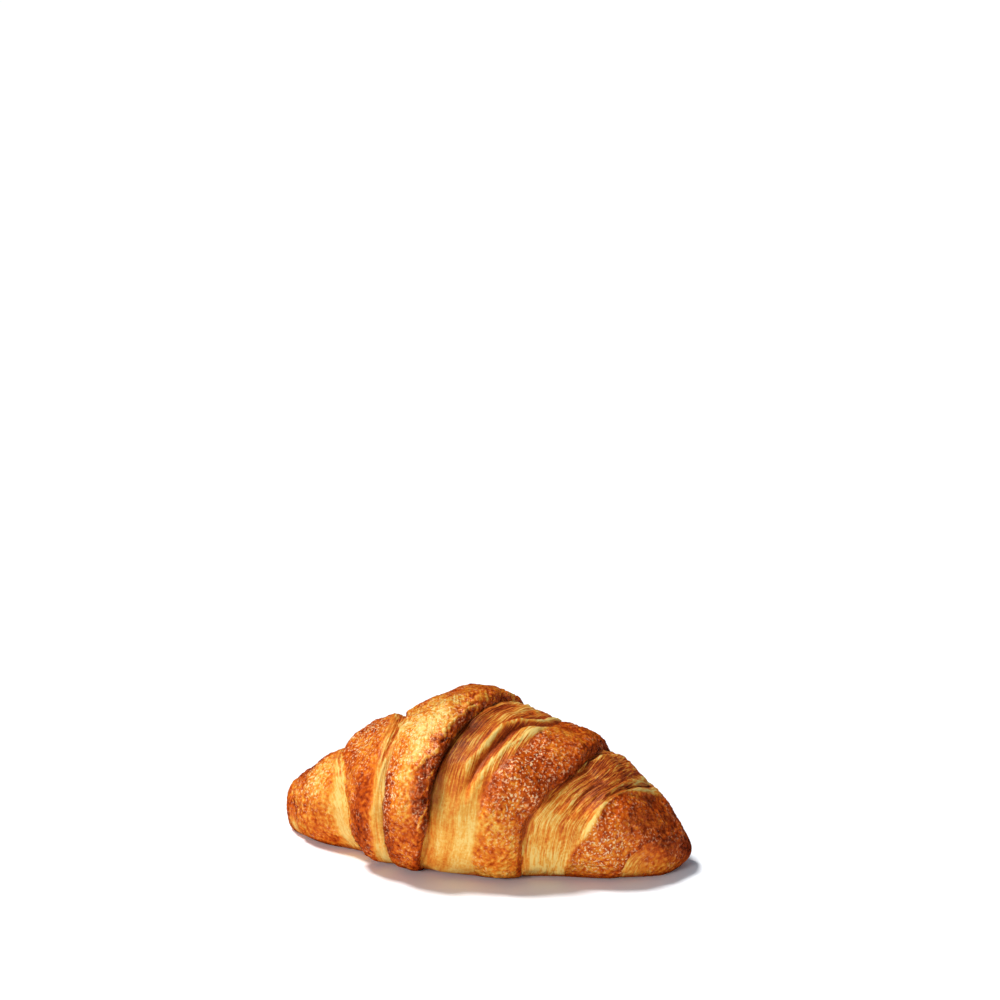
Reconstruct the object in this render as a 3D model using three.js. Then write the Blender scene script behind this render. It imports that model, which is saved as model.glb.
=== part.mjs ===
// A croissant: one roll of laminated dough, baked until its wraps have puffed, lying on its flat underside.
// Millimetres, +Z up. +X runs along the roll to its right tip, and -Y is the rounded front of the crescent.
// The origin is on the ground, under the middle of the croissant's box.
//
// The roll is a spindle around a gently bent spine. The edges of the rolled triangle wind round it as two
// helices, one to each tip. They are the valleys between seven wraps, and each wrap puffs out between them.
import * as THREE from 'three';

// Driving dimensions of the roll
const halfLength = 73; // along the spine from the middle to either tip
const bow = 15; // how far the middle lies in front of the line between the tips
const roundLeft = 8; // length of the rounded end of the left tip
const roundRight = 12; // length of the rounded end of the right tip
const waistShare = 0.45; // height of the widest place, as a share of the crest's height
const restDepth = 2; // how much of the round underside is flattened by its own weight
const topPower = 2.15; // superellipse power of the upper half of a section
const basePower = 2.5; // superellipse power of the lower half

// The valleys' crest height and half breadth, at places along the spine
const stations = [
  { at: -73, crest: 15, breadth: 5 },
  { at: -64, crest: 20, breadth: 11.7 },
  { at: -50, crest: 29.7, breadth: 19 },
  { at: -35, crest: 38, breadth: 21.5 },
  { at: -16, crest: 48, breadth: 34.3 },
  { at: 0, crest: 52, breadth: 36.8 },
  { at: 16, crest: 50.5, breadth: 33.3 },
  { at: 34, crest: 41.7, breadth: 25.5 },
  { at: 50, crest: 35.5, breadth: 23.8 },
  { at: 63, crest: 22.8, breadth: 16.4 },
  { at: 73, crest: 12.5, breadth: 8.2 },
];

// The two edges of the rolled triangle. Turns count from the middle of the underside, up the front and over
// the top, and the second number is the place along the spine.
const rightEdge = [
  [0, -12], [0.1, -8.7], [0.25, -2.2], [0.33, -1.2], [0.42, 3.6], [0.54, 11], [0.75, 15],
  [1, 19.5], [1.13, 21.6], [1.25, 24.2], [1.33, 30], [1.42, 38.8], [1.58, 45.6],
  [2, 51.5], [2.12, 53.5], [2.25, 59.5], [2.35, 65], [2.6, 69.5], [3, 71.5],
];
const leftEdge = [
  [0, -20], [0.12, -17.6], [0.25, -15.2], [0.35, -16.8], [0.42, -20.6], [0.54, -29.5], [0.75, -30.6],
  [1, -29.6], [1.15, -29.4], [1.25, -32.6], [1.38, -37.4], [1.5, -41.5], [1.75, -48],
  [2, -54], [2.25, -60], [2.5, -65.5], [3, -70.5],
];

// Where the smooth dough that the oven drew out ends, and the glazed skin of the outer wrap starts
const innerSkin = [[0, 5], [0.15, 6.8], [0.25, 10.2], [0.33, 10.4], [0.42, 16.6], [0.54, 24.5], [0.8, 30], [1, 33]];
const outerSkin = [[0, 31.5], [0.12, 33], [0.25, 37], [0.35, 46.3], [0.41, 54.2], [0.5, 61], [0.8, 63], [1, 64]];
const leftSkin = [[0, -25], [0.15, -22.9], [0.25, -20.8], [0.37, -22.8], [0.54, -33.7], [1, -33.5]];

// The wraps from the left tip to the right. Puff is the height over the valleys, and bare is the share of it
// that the drawn-out dough reaches. The mesh's steps across the wrap are bareColumns over the drawn-out dough
// and skinColumns over the rest.
const wraps = [
  { side: 'left', puff: 0.7, bare: 0.6, bareColumns: 2, skinColumns: 5 },
  { side: 'left', puff: 1.5, bare: 0.6, bareColumns: 2, skinColumns: 8 },
  { side: 'left', puff: 6, bare: 0.72, skin: leftSkin, bareColumns: 4, skinColumns: 10 },
  { side: 'middle', puff: 5.9, bareColumns: 0, skinColumns: 18 },
  { side: 'right', puff: 5.1, bare: 0.45, skin: innerSkin, bareColumns: 8, skinColumns: 14 },
  { side: 'right', puff: 2, bare: 0.5, skin: outerSkin, bareColumns: 7, skinColumns: 10 },
  { side: 'right', puff: 1, bare: 0.4, bareColumns: 2, skinColumns: 6 },
];
const middleWrap = 3; // its index in the list
const plainSkinShare = 0.25; // where the skin of a wrap without a skin line starts, as a share of its width
const fullWidth = 12; // a wrap narrower than this puffs less
const lowPuff = 0.27; // share of the puff that is left on the underside
const lipLean = 1.2; // how far a wrap's free lip leans over the next wrap
const rows = 58; // the mesh's steps around a section
const closingTurn = 0.9; // from here each edge runs back under the roll to where the turn began

const clamp = THREE.MathUtils.clamp;
const lerp = THREE.MathUtils.lerp;

function ease(x) {
  return THREE.MathUtils.smoothstep(x, 0, 1);
}

// A cubic curve through [place, value] knots, with the slopes that slopeAt gives from the two chords beside a knot
function curveThrough(knots, slopeAt) {
  const last = knots.length - 1;
  const chord = knots.slice(1).map(([place, value], i) => (value - knots[i][1]) / (place - knots[i][0]));
  const slope = knots.map((knot, i) => {
    if (i === 0) return chord[0];
    if (i === last) return chord[last - 1];
    return slopeAt(chord[i - 1], chord[i], knot[0] - knots[i - 1][0], knots[i + 1][0] - knot[0]);
  });
  return (place) => {
    const x = clamp(place, knots[0][0], knots[last][0]);
    let i = 0;
    while (i < last - 1 && x >= knots[i + 1][0]) i += 1;
    const step = knots[i + 1][0] - knots[i][0];
    const u = (x - knots[i][0]) / step;
    const rise = u * u * (3 - 2 * u);
    return (1 - rise) * knots[i][1] + rise * knots[i + 1][1]
      + u * (1 - u) * (1 - u) * step * slope[i] - u * u * (1 - u) * step * slope[i + 1];
  };
}

// Keeps the curve between its knots, without overshoot
function steadySlope(before, after) {
  return before * after > 0 ? (2 * before * after) / (before + after) : 0;
}

// Rounds the curve through its knots
function roundSlope(before, after, stepBefore, stepAfter) {
  return (before * stepAfter + after * stepBefore) / (stepBefore + stepAfter);
}

const crestAt = curveThrough(stations.map((s) => [s.at, s.crest]), roundSlope);
const breadthAt = curveThrough(stations.map((s) => [s.at, s.breadth]), roundSlope);
const rightEdgeAt = curveThrough(rightEdge, steadySlope);
const leftEdgeAt = curveThrough(leftEdge, steadySlope);

// A line's place at a turn, run back near the end of the turn so that the ring closes
function closed(line, turn) {
  return lerp(line(turn), line(0), ease((turn - closingTurn) / (1 - closingTurn)));
}

// The eight valleys at a turn, from tip to tip
function valleysAt(turn) {
  return [
    -halfLength,
    closed((t) => leftEdgeAt(t + 2), turn),
    closed((t) => leftEdgeAt(t + 1), turn),
    closed(leftEdgeAt, turn),
    closed(rightEdgeAt, turn),
    closed((t) => rightEdgeAt(t + 1), turn),
    closed((t) => rightEdgeAt(t + 2), turn),
    halfLength,
  ];
}

// Rises from 0 as x to the power up, is 1 in between, and falls to 0 at x = 1 with the power down
function hump(x, up, down) {
  const peak = up / (up + down);
  return Math.pow(x / peak, up) * Math.pow((1 - x) / (1 - peak), down);
}

// The height across an outer wrap, from the valley beside its inner neighbour at 0 to its own lip at 1
function outerProfile(x, skinStart, bare) {
  if (x < skinStart) return bare * Math.pow(x / skinStart, 0.8);
  const v = clamp((x - skinStart) / (1 - skinStart), 0, 1);
  return bare * (1 - Math.pow(v, 4)) + (1 - bare) * hump(v, 0.85, 0.42);
}

// How much of the lean a lip has at a share of the wrap's width, counted towards the lip
function leanProfile(x) {
  return ease((x - 0.62) / 0.28) * (1 - ease((x - 0.93) / 0.07));
}

// The spine's point and direction at a place
function spineAt(x) {
  const share = x / halfLength;
  const direction = new THREE.Vector2(1, (2 * bow * share) / halfLength).normalize();
  return { y: -bow * (1 - share * share), direction };
}

// A point of the surface: place along the spine, angle round it (0 is the front, 90 degrees the top) and puff
function surfacePoint(place, angle, puff) {
  const end = place < 0 ? roundLeft : roundRight;
  const nearness = 1 - clamp((halfLength - Math.abs(place)) / end, 0, 1);
  const rounding = Math.sqrt(Math.max(0, 1 - nearness * nearness));
  const crest = crestAt(place);
  const waist = crest * waistShare;
  const across = Math.cos(angle);
  const upward = Math.sin(angle);
  const power = lerp(basePower, topPower, ease((upward + 0.4) / 0.8));
  const height = upward > 0 ? crest - waist : waist + restDepth;
  const out = breadthAt(place) * rounding * Math.sign(across) * Math.pow(Math.abs(across), 2 / power);
  const rise = height * rounding * Math.sign(upward) * Math.pow(Math.abs(upward), 2 / power);
  const grow = 1 + (puff * rounding) / Math.max(Math.hypot(out, rise), 0.001);
  const { y, direction } = spineAt(place);
  return new THREE.Vector3(
    place + out * grow * direction.y,
    y - out * grow * direction.x,
    Math.max(waist + rise * grow, 0),
  );
}

// Where the skin of an outer wrap starts at a turn, as a share of its width towards the lip
function skinStartOf(wrap, start, width, turn) {
  if (!wrap.skin) return plainSkinShare;
  const skin = closed(curveThrough(wrap.skin, steadySlope), turn);
  const reach = wrap.side === 'right' ? skin - start : start + width - skin;
  return clamp(reach / width, 0.1, 0.8);
}

// The share of an outer wrap's width at a step towards its lip, with a step on the skin's edge and the steps
// closer together at the lip
function shareAtStep(wrap, step, skinStart) {
  if (step <= wrap.bareColumns) return (skinStart * step) / wrap.bareColumns;
  const v = (step - wrap.bareColumns) / wrap.skinColumns;
  return skinStart + (1 - skinStart) * (1 - Math.pow(1 - v, 1.4));
}

// One point of a wrap, at a step across it and a turn
function wrapPoint(index, step, turn) {
  const wrap = wraps[index];
  const steps = wrap.bareColumns + wrap.skinColumns;
  const valleys = valleysAt(turn);
  const start = valleys[index];
  const width = Math.max(valleys[index + 1] - start, 0.5);
  const angle = 2 * Math.PI * (turn - 0.25);
  const fade = lowPuff + (1 - lowPuff) * ease((Math.sin(angle) + 0.95) / 1.15);
  const amount = wrap.puff * clamp(width / fullWidth, 0, 1) * fade;
  let share;
  let height;
  let lean;
  if (wrap.side === 'middle') {
    share = step / steps - 0.09 * Math.sin((2 * Math.PI * step) / steps);
    height = hump(share, 0.5, 0.4);
    lean = leanProfile(share) - leanProfile(1 - share);
  } else {
    const skinStart = skinStartOf(wrap, start, width, turn);
    const right = wrap.side === 'right';
    const towardsLip = shareAtStep(wrap, right ? step : steps - step, skinStart);
    share = right ? towardsLip : 1 - towardsLip;
    height = outerProfile(towardsLip, skinStart, wrap.bare);
    lean = right ? leanProfile(towardsLip) : -leanProfile(towardsLip);
  }
  const leaned = start + width * share + (lipLean * lean * amount) / wraps[middleWrap].puff;
  return surfacePoint(leaned, angle, amount * height);
}

// The closed skin: a ring of points at every column, and a single point at each tip
function croissantGeometry() {
  const points = [surfacePoint(-halfLength, 0, 0)];
  wraps.forEach((wrap, index) => {
    for (let step = index === 0 ? 1 : 0; step < wrap.bareColumns + wrap.skinColumns; step += 1) {
      for (let row = 0; row < rows; row += 1) points.push(wrapPoint(index, step, row / rows));
    }
  });
  points.push(surfacePoint(halfLength, 0, 0));

  const rings = (points.length - 2) / rows;
  const at = (ring, row) => 1 + ring * rows + (row % rows);
  const lastPoint = points.length - 1;
  const faces = [];
  for (let row = 0; row < rows; row += 1) {
    faces.push(0, at(0, row), at(0, row + 1));
    faces.push(lastPoint, at(rings - 1, row + 1), at(rings - 1, row));
    for (let ring = 0; ring < rings - 1; ring += 1) {
      faces.push(at(ring, row), at(ring + 1, row), at(ring + 1, row + 1));
      faces.push(at(ring, row), at(ring + 1, row + 1), at(ring, row + 1));
    }
  }

  const geometry = new THREE.BufferGeometry().setFromPoints(points);
  geometry.setIndex(faces);
  geometry.computeBoundingBox();
  const box = geometry.boundingBox;
  geometry.translate(-(box.min.x + box.max.x) / 2, -(box.min.y + box.max.y) / 2, -box.min.z);
  geometry.computeVertexNormals();
  return geometry;
}

const bakedCrust = new THREE.MeshStandardMaterial({ color: 0xc9762e, roughness: 0.45, metalness: 0 });

const croissant = new THREE.Mesh(croissantGeometry(), bakedCrust);
croissant.name = 'croissant';

const part = new THREE.Group();
part.add(croissant);

export default part;
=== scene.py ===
# A croissant: the fine surface of the roll that the frame holds as one plain solid.
# Sizes are in millimetres until a mesh is made, and then in metres. Turns count from the middle of the
# underside, up the front and over the top. Places count along the spine, and +X runs to the right tip.
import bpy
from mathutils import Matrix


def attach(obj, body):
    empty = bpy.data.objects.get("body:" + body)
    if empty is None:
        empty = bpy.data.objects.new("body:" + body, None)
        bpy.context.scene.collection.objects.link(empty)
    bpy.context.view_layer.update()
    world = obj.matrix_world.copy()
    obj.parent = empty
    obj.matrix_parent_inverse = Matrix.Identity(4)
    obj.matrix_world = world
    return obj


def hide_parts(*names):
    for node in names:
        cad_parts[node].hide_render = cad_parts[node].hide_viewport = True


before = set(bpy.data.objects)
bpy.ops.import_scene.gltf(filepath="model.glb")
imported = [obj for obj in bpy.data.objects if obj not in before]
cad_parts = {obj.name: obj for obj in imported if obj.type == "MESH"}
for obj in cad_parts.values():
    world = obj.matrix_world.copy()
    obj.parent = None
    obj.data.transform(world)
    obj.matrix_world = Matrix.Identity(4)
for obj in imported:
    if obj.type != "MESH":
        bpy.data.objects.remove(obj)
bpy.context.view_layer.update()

import math

import bpy
import numpy as np
from mathutils import Matrix, Vector

MM = 0.001
TINY = 0.001  # keeps a division away from zero
FAR_AWAY = 99.0  # further than any distance that it is compared with

# The form: the solid's roll, with edges and skin lines that waver more, and one more skin line on the left

HALF_LENGTH = 73.0  # along the spine from the middle to either tip
BOW = 15.0  # how far the middle lies in front of the line between the tips
ROUND_LEFT = 8.0  # length of the rounded end of the left tip
ROUND_RIGHT = 12.0  # length of the rounded end of the right tip
WAIST_SHARE = 0.45  # height of the widest place, as a share of the crest's height
REST_DEPTH = 2.0  # how much of the round underside is flattened by its own weight
TOP_POWER = 2.15  # superellipse power of the upper half of a section
BASE_POWER = 2.5  # superellipse power of the lower half
POWER_BLEND = 0.4  # sine of the angle over which one power turns into the other, on either side of the waist

STATIONS = (  # place, crest height, half breadth
    (-73, 15, 5), (-64, 20, 11.7), (-50, 29.7, 19), (-35, 38, 21.5), (-16, 48, 34.3), (0, 52, 36.8),
    (16, 50.5, 33.3), (34, 41.7, 25.5), (50, 35.5, 23.8), (63, 22.8, 16.4), (73, 12.5, 8.2),
)

# The two edges of the rolled triangle, as (turn, place)
RIGHT_EDGE = (
    (0, -12), (0.1, -8.7), (0.25, -2.2), (0.33, -1.2), (0.42, 2.0), (0.54, 9.0), (0.75, 15),
    (1, 19.5), (1.13, 21.6), (1.25, 24.2), (1.33, 30), (1.42, 38.8), (1.58, 45.6),
    (2, 49.5), (2.12, 50.2), (2.19, 51.8), (2.257, 57.3), (2.3, 61.8), (2.38, 67), (2.6, 70), (3, 71.5),
)
LEFT_EDGE = (
    (0, -20), (0.12, -17.6), (0.25, -15.2), (0.35, -16.6), (0.42, -17.9), (0.46, -20.2), (0.54, -27.0),
    (0.75, -30.2), (1, -29.6), (1.15, -28.8), (1.25, -32.0), (1.3, -34.8), (1.35, -38.0), (1.43, -43.6),
    (1.5, -46), (1.75, -49.5), (2, -54), (2.25, -60), (2.5, -65.5), (3, -70.5),
)

# Where the dough that the oven drew out ends and the glazed skin of a wrap starts, as (turn, place)
INNER_SKIN = (
    (0, 6), (0.15, 8.6), (0.25, 11.6), (0.30, 13.0), (0.335, 15.0), (0.363, 17.8), (0.393, 20.6),
    (0.43, 23.8), (0.54, 28), (0.8, 31), (1, 33),
)
OUTER_SKIN = (
    (0, 32), (0.12, 33.6), (0.19, 35.6), (0.226, 37.6), (0.25, 40.4), (0.284, 43.0), (0.315, 44.8),
    (0.349, 47.4), (0.393, 52.0), (0.424, 56.2), (0.465, 60.0), (0.51, 62.0), (0.8, 63), (1, 64),
)
INNER_LEFT_SKIN = (
    (0, -25), (0.15, -20.9), (0.25, -19.0), (0.33, -20.0), (0.39, -21.2), (0.45, -24.6), (0.54, -31.5),
    (1, -33.5),
)
OUTER_LEFT_SKIN = (
    (0, -43), (0.16, -39.2), (0.21, -38.6), (0.25, -39.6), (0.33, -40.2), (0.38, -43.2), (0.43, -46.2),
    (0.5, -50), (1, -54),
)

WRAPS = (  # side, puff, share of the puff that the drawn-out dough reaches, skin line, columns over each part
    ("left", 0.7, 0.6, None, 2, 5),
    ("left", 1.5, 0.6, OUTER_LEFT_SKIN, 3, 8),
    ("left", 6.0, 0.72, INNER_LEFT_SKIN, 4, 10),
    ("middle", 5.9, 0.0, None, 0, 18),
    ("right", 5.1, 0.45, INNER_SKIN, 8, 14),
    ("right", 2.0, 0.5, OUTER_SKIN, 7, 10),
    ("right", 1.0, 0.4, None, 2, 6),
)
TIP_LEFT, OUTER_LEFT, INNER_LEFT, MIDDLE, INNER_RIGHT, OUTER_RIGHT, TIP_RIGHT = range(7)
MIDDLE_PUFF = WRAPS[MIDDLE][1]
PLAIN_SKIN_SHARE = 0.25  # where the skin of a wrap without a skin line starts, as a share of its width
SKIN_SHARES = (0.1, 0.8)  # and the least and most of that share where it has one
FULL_WIDTH = 12.0  # a wrap narrower than this puffs less
LEAST_WIDTH = 0.5
LOW_PUFF = 0.27  # share of the puff that is left on the underside
PUFF_GROWS = (-0.95, 1.15)  # sine of the angle where the puff starts to grow, and over how much it does
LIP_LEAN = 1.2  # how far a wrap's free lip leans over the next wrap
LEAN_RISE = (0.62, 0.28)  # share of a wrap's width where the lean starts, and over how much it grows
LEAN_FALL = (0.93, 0.07)  # where it goes back, and over how much
MIDDLE_HUMP = (0.5, 0.4)  # powers of the middle wrap's rise and fall
SKIN_HUMP = (0.85, 0.42)  # and of an outer wrap's skin over the drawn-out dough
DRAWN_POWER = 0.8  # of the rise of the drawn-out dough
LIP_POWER = 4  # of its fall under the skin, towards the lip
MIDDLE_CROWDING = 0.09  # how much closer the middle wrap's columns stand at its two lips
LIP_CROWDING = 1.4  # power by which the columns of the others crowd at the lip
SOLID_ROWS = 58
CLOSING_TURN = 0.9  # from here each edge runs back under the roll to where the turn began
FRONT_TURN = 0.25


def ease(x):
    x = np.clip(x, 0, 1)
    return x * x * (3 - 2 * x)


def curve_through(knots, rounded=False):
    """A cubic curve through (place, value) knots, without overshoot, or rounded through its knots."""
    at, value = (np.array(column, float) for column in zip(*knots))
    step = np.diff(at)
    chord = np.diff(value) / step
    slope = np.empty_like(value)
    slope[0], slope[-1] = chord[0], chord[-1]
    before, after = chord[:-1], chord[1:]
    if rounded:
        slope[1:-1] = (before * step[1:] + after * step[:-1]) / (step[1:] + step[:-1])
    else:
        agree = before * after > 0
        total = np.where(agree, before + after, 1.0)
        slope[1:-1] = np.where(agree, 2 * before * after / total, 0.0)

    def curve(x):
        x = np.clip(x, at[0], at[-1])
        i = np.clip(np.searchsorted(at, x, side="right") - 1, 0, len(step) - 1)
        u = (x - at[i]) / step[i]
        rise = u * u * (3 - 2 * u)
        bend = u * (1 - u) * step[i]
        return (1 - rise) * value[i] + rise * value[i + 1] + bend * ((1 - u) * slope[i] - u * slope[i + 1])

    return curve


crest_at = curve_through([(at, crest) for at, crest, breadth in STATIONS], rounded=True)
breadth_at = curve_through([(at, breadth) for at, crest, breadth in STATIONS], rounded=True)
right_edge_at = curve_through(RIGHT_EDGE)
left_edge_at = curve_through(LEFT_EDGE)


def closed(line, turn):
    """A line's place at a turn, run back near the end of the turn so that the ring closes."""
    back = ease((turn - CLOSING_TURN) / (1 - CLOSING_TURN))
    return line(turn) * (1 - back) + line(np.zeros_like(turn)) * back


def valleys_at(turn):
    """The eight valleys at a turn, from tip to tip."""
    ends = np.full_like(turn, HALF_LENGTH)
    return [
        -ends,
        closed(lambda t: left_edge_at(t + 2), turn),
        closed(lambda t: left_edge_at(t + 1), turn),
        closed(left_edge_at, turn),
        closed(right_edge_at, turn),
        closed(lambda t: right_edge_at(t + 1), turn),
        closed(lambda t: right_edge_at(t + 2), turn),
        ends,
    ]


def hump(x, up, down):
    """Rises from 0 as x to the power up, and falls to 0 at x = 1 with the power down. Its top is 1."""
    peak = up / (up + down)
    return np.power(x / peak, up) * np.power((1 - x) / (1 - peak), down)


def outer_profile(x, skin_start, bare):
    """The height across an outer wrap, from the valley at its inner neighbour, 0, to its own lip, 1."""
    v = np.clip((x - skin_start) / (1 - skin_start), 0, 1)
    skin = bare * (1 - v**LIP_POWER) + (1 - bare) * hump(v, *SKIN_HUMP)
    return np.where(x < skin_start, bare * np.power(np.clip(x / skin_start, 0, 1), DRAWN_POWER), skin)


def lean_profile(x):
    """How much of the lean a lip has at a share of the wrap's width, counted towards the lip."""
    (rise_at, rise_over), (fall_at, fall_over) = LEAN_RISE, LEAN_FALL
    return ease((x - rise_at) / rise_over) * (1 - ease((x - fall_at) / fall_over))


def surface_point(place, angle, puff):
    """A point of the surface, from its place along the spine, angle round it (0 is the front) and puff."""
    end = np.where(place < 0, ROUND_LEFT, ROUND_RIGHT)
    nearness = 1 - np.clip((HALF_LENGTH - np.abs(place)) / end, 0, 1)
    rounding = np.sqrt(np.clip(1 - nearness * nearness, 0, 1))
    crest = crest_at(place)
    waist = crest * WAIST_SHARE
    across, upward = np.cos(angle), np.sin(angle)
    power = BASE_POWER + (TOP_POWER - BASE_POWER) * ease((upward + POWER_BLEND) / (2 * POWER_BLEND))
    height = np.where(upward > 0, crest - waist, waist + REST_DEPTH)
    out = breadth_at(place) * rounding * np.sign(across) * np.abs(across) ** (2 / power)
    rise = height * rounding * np.sign(upward) * np.abs(upward) ** (2 / power)
    grow = 1 + puff * rounding / np.maximum(np.hypot(out, rise), TINY)
    share = place / HALF_LENGTH
    slope = 2 * BOW * share / HALF_LENGTH
    length = np.hypot(1, slope)
    return np.stack([
        place + out * grow * slope / length,
        -BOW * (1 - share * share) - out * grow / length,
        np.maximum(waist + rise * grow, 0),
    ], -1)


def roll_grid(turns, fineness):
    """The roll's points, column by column, each with its wrap, its place and its height over the valleys."""
    angle = 2 * math.pi * (turns - FRONT_TURN)
    valleys = valleys_at(turns)
    grows_at, grows_over = PUFF_GROWS
    fade = LOW_PUFF + (1 - LOW_PUFF) * ease((np.sin(angle) - grows_at) / grows_over)
    columns = {name: [] for name in ("place", "puff", "wrap", "share", "skin_start", "width")}
    for index, (side, puff, bare, skin, bare_columns, skin_columns) in enumerate(WRAPS):
        start = valleys[index]
        width = np.maximum(valleys[index + 1] - start, LEAST_WIDTH)
        amount = puff * np.clip(width / FULL_WIDTH, 0, 1) * fade
        skin_start = np.full_like(turns, PLAIN_SKIN_SHARE)
        if skin:
            line = closed(curve_through(skin), turns)
            reach = line - start if side == "right" else start + width - line
            skin_start = np.clip(reach / width, *SKIN_SHARES)
        bare_steps, skin_steps = bare_columns * fineness, skin_columns * fineness
        steps = bare_steps + skin_steps
        for step in range(steps):
            if side == "middle":
                crowding = MIDDLE_CROWDING * math.sin(2 * math.pi * step / steps)
                share = np.full_like(turns, step / steps - crowding)
                height = hump(share, *MIDDLE_HUMP)
                lean = lean_profile(share) - lean_profile(1 - share)
                place = start + width * share
            else:
                towards = step if side == "right" else steps - step
                if towards <= bare_steps:
                    share = skin_start * towards / bare_steps
                else:
                    v = (towards - bare_steps) / skin_steps
                    share = skin_start + (1 - skin_start) * (1 - (1 - v) ** LIP_CROWDING)
                height = outer_profile(share, skin_start, bare)
                lean = lean_profile(share) if side == "right" else -lean_profile(share)
                place = start + width * (share if side == "right" else 1 - share)
            columns["place"].append(place + LIP_LEAN * lean * amount / MIDDLE_PUFF)
            columns["puff"].append(amount * height)
            columns["wrap"].append(np.full(turns.shape, index))
            columns["share"].append(share)
            columns["skin_start"].append(skin_start)
            columns["width"].append(width)
    grid = {name: np.array(values) for name, values in columns.items()}
    grid["turn"] = np.broadcast_to(turns, grid["place"].shape)
    grid["angle"] = 2 * math.pi * (grid["turn"] - FRONT_TURN)
    # the first column is the left tip, which is a single point
    return {name: values[1:] for name, values in grid.items()}


def tip_points():
    return surface_point(np.array([-HALF_LENGTH, HALF_LENGTH]), np.zeros(2), np.zeros(2))


def box_shift():
    """What moves the form into the frame, as it moves the solid: its box stands over the origin."""
    solid = roll_grid(np.arange(SOLID_ROWS) / SOLID_ROWS, 1)
    points = surface_point(solid["place"], solid["angle"], solid["puff"]).reshape(-1, 3)
    points = np.concatenate([points, tip_points()])
    low, high = points.min(0), points.max(0)
    return np.array([-(low[0] + high[0]) / 2, -(low[1] + high[1]) / 2, -low[2]])


SHIFT = box_shift()


# Noise, all of it seeded

TABLE_SIZE = 256
NOISE_STRENGTH = 1.5


def shuffled(random):
    """Picks one entry of a table for each corner of a lattice."""
    order = random.permutation(TABLE_SIZE)

    def pick(corner):
        x, y, z = (corner[..., axis] & TABLE_SIZE - 1 for axis in range(3))
        return order[(order[(order[x] + y) & TABLE_SIZE - 1] + z) & TABLE_SIZE - 1]

    return pick


def gradient_noise(points, seed):
    """Smooth noise between about -1 and 1, with lumps about one unit apart."""
    random = np.random.default_rng(seed)
    pick = shuffled(random)
    directions = random.normal(size=(TABLE_SIZE, 3))
    directions /= np.linalg.norm(directions, axis=1, keepdims=True)
    cell = np.floor(points).astype(int)
    inside = points - cell
    blend = inside**3 * (inside * (inside * 6 - 15) + 10)
    total = np.zeros(points.shape[:-1])
    for corner in np.ndindex(2, 2, 2):
        weight = np.ones(points.shape[:-1])
        for axis in range(3):
            weight *= blend[..., axis] if corner[axis] else 1 - blend[..., axis]
        direction = directions[pick(cell + np.array(corner))]
        total += weight * np.einsum("...i,...i", direction, inside - np.array(corner))
    return total * NOISE_STRENGTH


def rough_noise(points, seed, octaves, fall):
    total = sum(fall**i * gradient_noise(points * 2**i, seed + i) for i in range(octaves))
    return total / sum(fall**i for i in range(octaves))


def dome_noise(points, seed):
    """Round domes about one unit apart: 1 on top of a dome, near 0 where domes meet."""
    random = np.random.default_rng(seed)
    pick = shuffled(random)
    jitter = random.random((TABLE_SIZE, 3))
    cell = np.floor(points).astype(int)
    nearest = np.full(points.shape[:-1], FAR_AWAY)
    for offset in np.ndindex(3, 3, 3):
        corner = cell + np.array(offset) - 1
        nearest = np.minimum(nearest, ((corner + jitter[pick(corner)] - points) ** 2).sum(-1))
    return np.clip(1 - nearest, 0, 1)


def window(x, start, end, soft):
    """1 between start and end, falling to 0 over soft on either side."""
    return ease((x - start) / soft + 0.5) * ease((end - x) / soft + 0.5)


def ridge(distance, before, after):
    """A rounded ridge at distance 0, with its own reach on either side."""
    return np.exp(-((distance / np.where(distance < 0, before, after)) ** 2))


def weighted(*parts):
    """The sum of (weight, values) pairs."""
    return sum(weight * values for weight, values in parts)


# Where each point of the fine surface lies

FINENESS = 4  # columns for each column of the solid
ROWS = 256
UNDERSIDE_DENSITY = 0.25  # rows on the hidden underside, as a share of those elsewhere
CLOSE_ROWS = (0.07, 0.9, 0.06)  # from turn, to turn, and the turns over which the rows move together
FINE_STEPS = 4000
SKIN_EDGES = (3.0, 4.5, 3.2, 1.6, 2.4, 1.6, 5.0)  # breadth of the change to skin, wrap by wrap
TURN_LENGTH = 150.0  # millimetres along the dough in one turn, for the length of its strands
WRAP_STEP = 31.7  # how far one wrap's noise lies from the next one's
STRAND_STRAYS = 0.9  # how far a strand strays, as a share of its breadth
STRAND_WANDER = (5, 0.6, 3)  # the noise of that: breadths and lengths of a strand, and the step to its seed
STRAND_THINNESS = 2.2
END_FADE = 4.0  # millimetres from a tip over which the relief grows
GROUND_FADE = 5.0  # and from the ground

# Above their feet the small end wraps are one with their neighbours: (from turn, to turn, soft)
TIP_MELTS = (0.23, 0.85, 0.08)
TIP_LEVELLING = 0.85  # share of the right wrap's puff that goes there
TIP_LEVELLED_FROM = 0.6  # from this share of its width

# Over the crest the valley beside the middle wrap's rim is partly filled
CREST_TURNS = (0.45, 0.66, 0.05)
FILL_SHARE = 0.7
FILL_REACH = 5.0
LEVEL_COLUMNS = 7  # columns over which the puff is averaged there


def row_turns():
    """The turns of the rows, closer together where the croissant shows."""
    fine = np.linspace(0, 1, FINE_STEPS + 1)
    weight = UNDERSIDE_DENSITY + (1 - UNDERSIDE_DENSITY) * window(fine, *CLOSE_ROWS)
    reached = np.concatenate([[0], np.cumsum((weight[1:] + weight[:-1]) / 2)])
    return np.interp(np.arange(ROWS) / ROWS * reached[-1], reached, fine)


def levelled(puff):
    """The puff, averaged over the columns nearby."""
    steps = range(-2 * LEVEL_COLUMNS, 2 * LEVEL_COLUMNS + 1)
    parts = [math.exp(-((step / LEVEL_COLUMNS) ** 2)) for step in steps]
    return sum(part * np.roll(puff, step, axis=0) for part, step in zip(parts, steps)) / sum(parts)


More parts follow.
